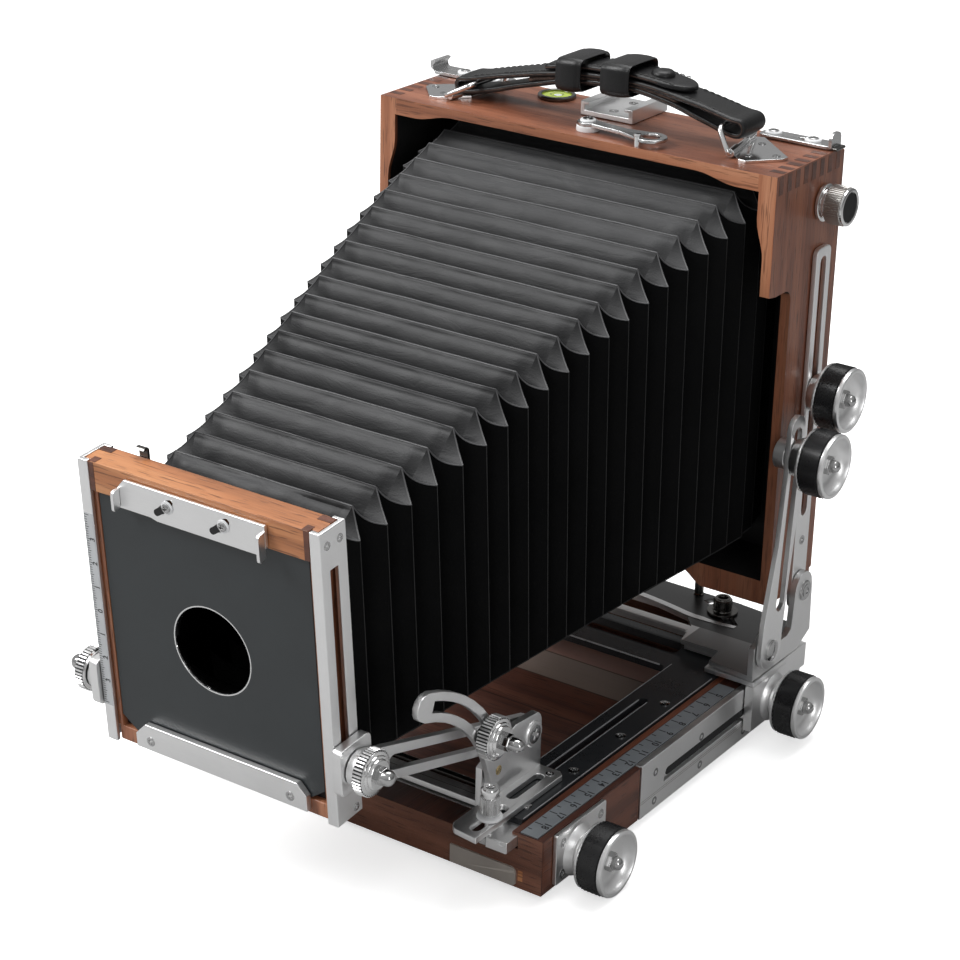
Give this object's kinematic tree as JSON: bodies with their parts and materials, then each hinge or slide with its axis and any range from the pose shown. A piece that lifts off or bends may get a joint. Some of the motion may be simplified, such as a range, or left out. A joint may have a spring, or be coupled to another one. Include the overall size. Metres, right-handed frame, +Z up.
{
  "type": "view camera",
  "caption": "Wooden folding view camera with bellows, tilting front standard on link arms, rear standard on slotted uprights, geared bed and leather handle.",
  "frame": {"origin": "centre of the tripod plate's lower face, in the plane of the bed's underside", "axes": "+Z up, -Y the way the lens looks, +X the side with the focusing knobs"},
  "size_m": [0.2444, 0.2949, 0.2764],
  "materials": {
    "aluminium": "fine satin",
    "bellows": "coated cloth",
    "black_plate": "satin black",
    "board_black": "matt black",
    "brass": "machined",
    "chrome": "polished",
    "glass": "ground",
    "leather": "smooth grain",
    "rubber": "knurled",
    "steel": "brushed",
    "walnut": "satin oiled",
    "walnut_dark": "satin oiled",
    "walnut_light": "satin oiled"
  },
  "bodies": {
    "bed": {"bed_frame": "walnut_dark", "bed_floor": "walnut", "tripod_plate": "aluminium", "guide_rail_left": "aluminium", "guide_rail_right": "aluminium", "knob_flange_left": "aluminium", "knob_flange_right": "aluminium"},
    "focus_slide": {"slide_frame": "black_plate", "focus_rack": "steel"},
    "front_focus_knob": {"front_knob_right_core": "aluminium", "front_knob_right_grip": "rubber", "focus_pinion": "brass"},
    "front_lock_knob": {"front_knob_left_core": "aluminium", "front_knob_left_grip": "rubber"},
    "front_carriage": {"carriage_bracket_left": "aluminium", "carriage_bracket_right": "aluminium", "carriage_crossbar": "aluminium"},
    "thumbscrew_left": {"carriage_thumbscrew_left": "chrome"},
    "thumbscrew_right": {"carriage_thumbscrew_right": "chrome"},
    "link_arms": {"link_arm_left": "aluminium", "link_arm_right": "aluminium", "quadrant_left": "aluminium", "quadrant_right": "aluminium"},
    "quadrant_knob_left_body": {"quadrant_knob_left": "chrome"},
    "quadrant_knob_right_body": {"quadrant_knob_right": "chrome"},
    "standard_brackets": {"standard_bracket_left": "aluminium", "standard_bracket_right": "aluminium"},
    "clamp_wheel_left_body": {"clamp_wheel_left": "chrome"},
    "clamp_wheel_right_body": {"clamp_wheel_right": "chrome"},
    "front_standard": {"front_upright_left": "aluminium", "front_upright_right": "aluminium", "front_top_rail": "walnut_light", "front_lower_frame": "walnut", "lens_board": "board_black", "bottom_retainer": "aluminium"},
    "board_lock_slide": {"board_lock": "aluminium"},
    "rear_carrier": {"rear_slider": "aluminium"},
    "rear_focus_knob": {"rear_knob_right_core": "aluminium", "rear_knob_right_grip": "rubber"},
    "rear_lock_knob": {"rear_knob_left_core": "aluminium", "rear_knob_left_grip": "rubber"},
    "rear_yoke": {"swing_yoke": "aluminium"},
    "swing_lock": {"swing_lock_knob": "chrome"},
    "rear_uprights": {"rear_upright_left": "aluminium", "rear_upright_right": "aluminium"},
    "rear_struts": {"rear_strut_left": "aluminium", "rear_strut_right": "aluminium"},
    "rear_standard": {"rear_box": "walnut", "accessory_shoe": "chrome", "handle_strap": "leather", "bellows": "bellows"},
    "upper_knob_left_body": {"upper_knob_left": "aluminium"},
    "upper_knob_right_body": {"upper_knob_right": "aluminium"},
    "lower_knob_left_body": {"lower_knob_left": "aluminium"},
    "lower_knob_right_body": {"lower_knob_right": "aluminium"},
    "sprung_back": {"back_frame": "walnut", "ground_glass": "glass"},
    "spring_knob_body": {"spring_knob": "chrome"},
    "back_latch_body": {"back_latch": "steel"},
    "hook_lever": {"top_hook_lever": "steel"}
  },
  "joints": [
    {"name": "front_focus_slide", "type": "slide", "parent": "bed", "child": "focus_slide", "axis": [0, -1, 0], "range_m": [-0.02, 0.075], "deforming": ["bellows"]},
    {"name": "front_focus_knob_turn", "type": "hinge", "parent": "bed", "child": "front_focus_knob", "pos_m": [0, -0.081, 0.011], "axis": [1, 0, 0], "range_deg": [-190, 705]},
    {"name": "front_lock_knob_turn", "type": "hinge", "parent": "bed", "child": "front_lock_knob", "pos_m": [0, -0.081, 0.011], "axis": [1, 0, 0], "continuous": true},
    {"name": "carriage_shift", "type": "slide", "parent": "focus_slide", "child": "front_carriage", "axis": [0, -1, 0], "range_m": [-0.006, 0.009]},
    {"name": "thumbscrew_left_turn", "type": "hinge", "parent": "focus_slide", "child": "thumbscrew_left", "pos_m": [-0.0743, -0.106, 0.028], "axis": [0, 0, 1], "continuous": true},
    {"name": "thumbscrew_right_turn", "type": "hinge", "parent": "focus_slide", "child": "thumbscrew_right", "pos_m": [0.0743, -0.106, 0.028], "axis": [0, 0, 1], "continuous": true},
    {"name": "front_arm_swing", "type": "hinge", "parent": "front_carriage", "child": "link_arms", "pos_m": [0, -0.0662, 0.044], "axis": [1, 0, 0], "range_deg": [-30, 12], "deforming": ["bellows"]},
    {"name": "quadrant_knob_left_turn", "type": "hinge", "parent": "link_arms", "child": "quadrant_knob_left_body", "pos_m": [0, -0.10393, 0.06143], "axis": [1, 0, 0], "continuous": true},
    {"name": "quadrant_knob_right_turn", "type": "hinge", "parent": "link_arms", "child": "quadrant_knob_right_body", "pos_m": [0, -0.10393, 0.06143], "axis": [1, 0, 0], "continuous": true},
    {"name": "front_tilt", "type": "hinge", "parent": "link_arms", "child": "standard_brackets", "pos_m": [0, -0.16889, 0.07363], "axis": [1, 0, 0], "range_deg": [-20, 20], "deforming": ["bellows"]},
    {"name": "clamp_wheel_left_turn", "type": "hinge", "parent": "standard_brackets", "child": "clamp_wheel_left_body", "pos_m": [0, -0.16889, 0.07363], "axis": [1, 0, 0], "continuous": true},
    {"name": "clamp_wheel_right_turn", "type": "hinge", "parent": "standard_brackets", "child": "clamp_wheel_right_body", "pos_m": [0, -0.16889, 0.07363], "axis": [1, 0, 0], "continuous": true},
    {"name": "front_rise", "type": "slide", "parent": "standard_brackets", "child": "front_standard", "axis": [0, -0.0899, 0.996], "range_m": [-0.035, 0.002], "deforming": ["bellows"]},
    {"name": "board_lock_shift", "type": "slide", "parent": "front_standard", "child": "board_lock_slide", "axis": [0.7241, -0.062, 0.6869], "range_m": [-0.0025, 0.0025]},
    {"name": "rear_focus_slide", "type": "slide", "parent": "bed", "child": "rear_carrier", "axis": [0, 1, 0], "range_m": [-0.06, 0.012], "deforming": ["bellows"]},
    {"name": "rear_focus_knob_turn", "type": "hinge", "parent": "rear_carrier", "child": "rear_focus_knob", "pos_m": [0, 0.0665, 0.0145], "axis": [1, 0, 0], "range_deg": [-865, 175]},
    {"name": "rear_lock_knob_turn", "type": "hinge", "parent": "rear_carrier", "child": "rear_lock_knob", "pos_m": [0, 0.0665, 0.0145], "axis": [1, 0, 0], "continuous": true},
    {"name": "rear_swing", "type": "hinge", "parent": "rear_carrier", "child": "rear_yoke", "pos_m": [0, 0.017, 0.03], "axis": [0, 0, 1], "range_deg": [-6, 6], "deforming": ["bellows"]},
    {"name": "swing_lock_turn", "type": "hinge", "parent": "rear_carrier", "child": "swing_lock", "pos_m": [0.06, 0.094, 0.031], "axis": [0, 0, 1], "continuous": true},
    {"name": "rear_tilt", "type": "hinge", "parent": "rear_yoke", "child": "rear_uprights", "pos_m": [0, 0.0905, 0.055], "axis": [1, 0, 0], "range_deg": [-8, 8], "deforming": ["bellows"]},
    {"name": "rear_strut_swing", "type": "hinge", "parent": "rear_yoke", "child": "rear_struts", "pos_m": [0, 0.058, 0.0405], "axis": [1, 0, 0], "range_deg": [-6.5, 6.5]},
    {"name": "rear_rise", "type": "slide", "parent": "rear_uprights", "child": "rear_standard", "axis": [0, 0, 1], "range_m": [-0.008, 0.006], "deforming": ["bellows"]},
    {"name": "upper_knob_left_turn", "type": "hinge", "parent": "rear_standard", "child": "upper_knob_left_body", "pos_m": [0, 0.0897, 0.145], "axis": [1, 0, 0], "continuous": true},
    {"name": "lower_knob_left_turn", "type": "hinge", "parent": "rear_standard", "child": "lower_knob_left_body", "pos_m": [0, 0.0675, 0.125], "axis": [1, 0, 0], "continuous": true},
    {"name": "upper_knob_right_turn", "type": "hinge", "parent": "rear_standard", "child": "upper_knob_right_body", "pos_m": [0, 0.0897, 0.145], "axis": [1, 0, 0], "continuous": true},
    {"name": "lower_knob_right_turn", "type": "hinge", "parent": "rear_standard", "child": "lower_knob_right_body", "pos_m": [0, 0.0675, 0.125], "axis": [1, 0, 0], "continuous": true},
    {"name": "back_open", "type": "slide", "parent": "rear_standard", "child": "sprung_back", "axis": [0, 1, 0], "range_m": [0, 0.006]},
    {"name": "spring_knob_turn", "type": "hinge", "parent": "rear_standard", "child": "spring_knob_body", "pos_m": [0, 0.0895, 0.2258], "axis": [1, 0, 0], "continuous": true},
    {"name": "back_latch_slide", "type": "slide", "parent": "rear_standard", "child": "back_latch_body", "axis": [1, 0, 0], "range_m": [-0.003, 0]},
    {"name": "hook_lever_swing", "type": "hinge", "parent": "rear_standard", "child": "hook_lever", "pos_m": [0.002, 0.06, 0.248], "axis": [0, 0, 1], "range_deg": [-15, 45]}
  ],
  "couplings": [
    {"joint": "front_focus_knob_turn", "follows": "front_focus_slide", "rad_per_m": 163.62},
    {"joint": "rear_focus_knob_turn", "follows": "rear_focus_slide", "rad_per_m": 250},
    {"joint": "rear_strut_swing", "follows": "rear_tilt", "ratio": 0.8}
  ]
}
